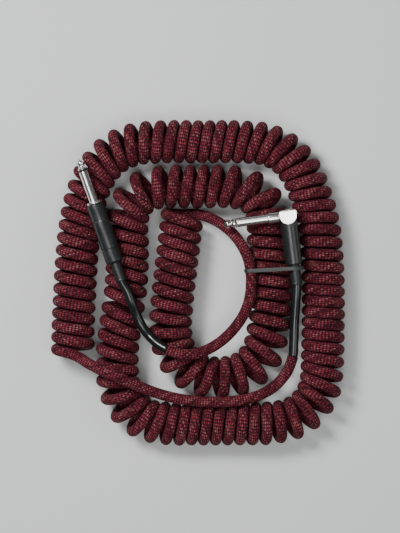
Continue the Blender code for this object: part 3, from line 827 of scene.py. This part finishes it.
def head_mesh():
    """The elbow block: a flat top, a half-round bottom, and a threaded boss inside the shell."""
    ease = 0.9
    outline = []
    for cx, cz, start in ((HEAD_HALF_WIDTH - ease, HEAD_TOP - ease, 0),
                          (-HEAD_HALF_WIDTH + ease, HEAD_TOP - ease, 90)):
        for k in range(7):
            angle = math.radians(start + 15 * k)
            outline.append((cx + ease * math.cos(angle), cz + ease * math.sin(angle)))
    for k in range(41):
        angle = math.pi + math.pi * k / 40
        outline.append((HEAD_HALF_WIDTH * math.cos(angle),
                        HEAD_ARC_CENTRE + HEAD_HALF_WIDTH * math.sin(angle)))
    shape = bmesh.new()
    verts = [shape.verts.new((x * MM, -HEAD_HALF_DEPTH * MM, z * MM)) for x, z in outline]
    face = shape.faces.new(verts)
    swept = bmesh.ops.extrude_face_region(shape, geom=[face])["geom"]
    moved = [v for v in swept if isinstance(v, bmesh.types.BMVert)]
    bmesh.ops.translate(shape, verts=moved, vec=(0, 2 * HEAD_HALF_DEPTH * MM, 0))
    bmesh.ops.recalc_face_normals(shape, faces=shape.faces)
    rims = [e for e in shape.edges if e.is_manifold and e.calc_face_angle() > math.radians(60)]
    bmesh.ops.bevel(shape, geom=rims, offset=0.35 * MM, segments=3, affect="EDGES")
    mesh = bpy.data.meshes.new("head")
    shape.to_mesh(mesh)
    shape.free()
    local = Matrix.Identity(4)
    boss = lathe_mesh("boss", ((0, -2.0), (4.5, -2.0), (4.5, -12.0), (0, -12.0)), local)
    cavity = lathe_mesh("cavity", ((0, 1.8), (3.3, 1.8), (3.3, -13.0), (0, -13.0)), local)
    mesh = boolean(mesh, boss, "UNION")
    mesh = boolean(mesh, cavity)
    mesh.transform(ANGLE)
    passage = lathe_mesh("passage", ((0, -7.0), (PIN_BORE, -7.0), (PIN_BORE, -12.0), (0, -12.0)), PIN)
    return boolean(mesh, passage)


def handle_mesh():
    """The right-angle plug's black shell, scalloped round the head and notched for the collar."""
    profile = rounded(((HANDLE_RADIUS, 0), (HANDLE_RADIUS, -32.3), (5.4, -33.0), (4.35, -33.0),
                       (4.35, -31.5), (4.85, -31.5), (4.85, 0)), 0.25)
    local = Matrix.Identity(4)
    shell = lathe_mesh("handle", profile, local, 96)
    across = Matrix.Translation((0, 0, HEAD_ARC_CENTRE * MM)) @ Matrix.Rotation(
        math.radians(90), 4, "X")
    scallop = lathe_mesh("scallop", ((0, 10), (HEAD_HALF_WIDTH + SLOT_GAP, 10),
                                     (HEAD_HALF_WIDTH + SLOT_GAP, -10), (0, -10)), across, 96)
    mesh = boolean(shell, scallop)
    mesh.transform(ANGLE)
    notch = lathe_mesh("notch", ((0, -6.0), (COLLAR_RADIUS + SLOT_GAP, -6.0),
                                 (COLLAR_RADIUS + SLOT_GAP, -11.0), (0, -11.0)), PIN)
    return boolean(mesh, notch)


def make_angle_plug():
    """The right-angle plug's outer pieces."""
    sleeve = ((PIN_RADIUS, 21.6), (PIN_RADIUS, 0), (COLLAR_RADIUS, 0), (COLLAR_RADIUS, -7.2),
              (PIN_BORE, -7.2), (PIN_BORE, 21.6))
    relief = ((3.8, -28.0), (3.75, -45.5), (3.95, -46.4), (3.85, -47.0), (3.4, -47.0),
              (3.4, -28.0))
    return make_pin("angle", PIN) + [
        turned_piece("angle_pin_sleeve", sleeve, 0.3, PIN, (NICKEL, "nickel"), "root",
                     "angle_sleeve"),
        add_piece("angle_elbow", head_mesh(), NICKEL, "nickel", "root", "angle_head"),
        add_piece("angle_handle_shell", handle_mesh(), SHELL, "black_shell", "angle_handle",
                  "angle_handle_sleeve"),
        turned_piece("angle_shrink_sleeve", relief, 0.15, ANGLE, (SHRINK, "heat_shrink"), "root",
                     "angle_strain_relief"),
    ]


def make_tie():
    """The twist tie: a ribbed band, hooked round the tail and the right-angle plug's lead."""
    tail = np.array(TAIL_A_ROUTE[TIE_TAIL_POINT])
    lead = in_layout(ANGLE, 0, 0, TIE_LEAD_HEIGHT)
    flat = (lead - tail) * (1, 1, 0)
    across = flat / np.linalg.norm(flat)
    width = np.array((-across[1], across[0], 0.0))
    path = []
    for centre, radius, start in ((tail, CORD_RADIUS + TIE_GAP, TIE_TAIL_START_DEG),
                                  (lead, HANDLE_RADIUS + TIE_GAP, TIE_LEAD_START_DEG)):
        for k in range(TIE_HOOK_STEPS + 1):
            angle = math.radians(start - TIE_HOOK_DEG * k / TIE_HOOK_STEPS)
            path.append(centre + across * (radius * math.cos(angle))
                        + np.array((0, 0, radius * math.sin(angle))))
    path = evenly(np.array(path), TIE_STEP)
    ways = np.gradient(path, axis=0)
    ways /= np.linalg.norm(ways, axis=1)[:, None]
    out = np.cross(width[None, :], ways)
    out *= np.sign(out[len(out) // 2, 2])
    half = TIE_WIDTH / 2
    foot, rise = TIE_FOOT
    section = ((-half, 0.0), (half, 0.0), (half, TIE_EDGE), (foot, rise),
               (TIE_CREST, TIE_THICKNESS), (-TIE_CREST, TIE_THICKNESS), (-foot, rise),
               (-half, TIE_EDGE))
    shape = bmesh.new()
    rings = []
    for point, up in zip(path, out):
        rings.append([shape.verts.new(placed(point + width * a + up * b)) for a, b in section])
    for one, two in zip(rings, rings[1:]):
        for k in range(len(section)):
            n = (k + 1) % len(section)
            shape.faces.new((one[k], one[n], two[n], two[k]))
    shape.faces.new(rings[0])
    shape.faces.new(rings[-1])
    bmesh.ops.recalc_face_normals(shape, faces=shape.faces)
    mesh = bpy.data.meshes.new("tie_band")
    shape.to_mesh(mesh)
    shape.free()
    mesh.shade_smooth()
    mesh.set_sharp_from_angle(angle=math.radians(40))
    return add_piece("tie_band", mesh, TIE, "tie_band", "root", "twist_tie")


def paint_inner_nodes():
    """Finish the CAD nodes that still show, by their material slot."""
    looks = {"white_insulator": WHITE, "brass": BRASS, "copper": COPPER, "nickel": NICKEL,
             "black_insulator": INSULATOR, "black_shell": SHELL, "heat_shrink": SHRINK,
             "black_jacket": JACKET, "tweed_braid": TWEED, "tie_band": TIE}
    for entry in frame["record"]["subparts"]:
        node = frame["nodes"][entry["node"]]
        for place in node.material_slots:
            place.material = looks[entry["material_slot"]]


make_camera()
make_floor()
make_lights()
paint_inner_nodes()
cord, leads, line = make_cord()
plugs = make_straight_plug() + make_angle_plug()
make_tie()
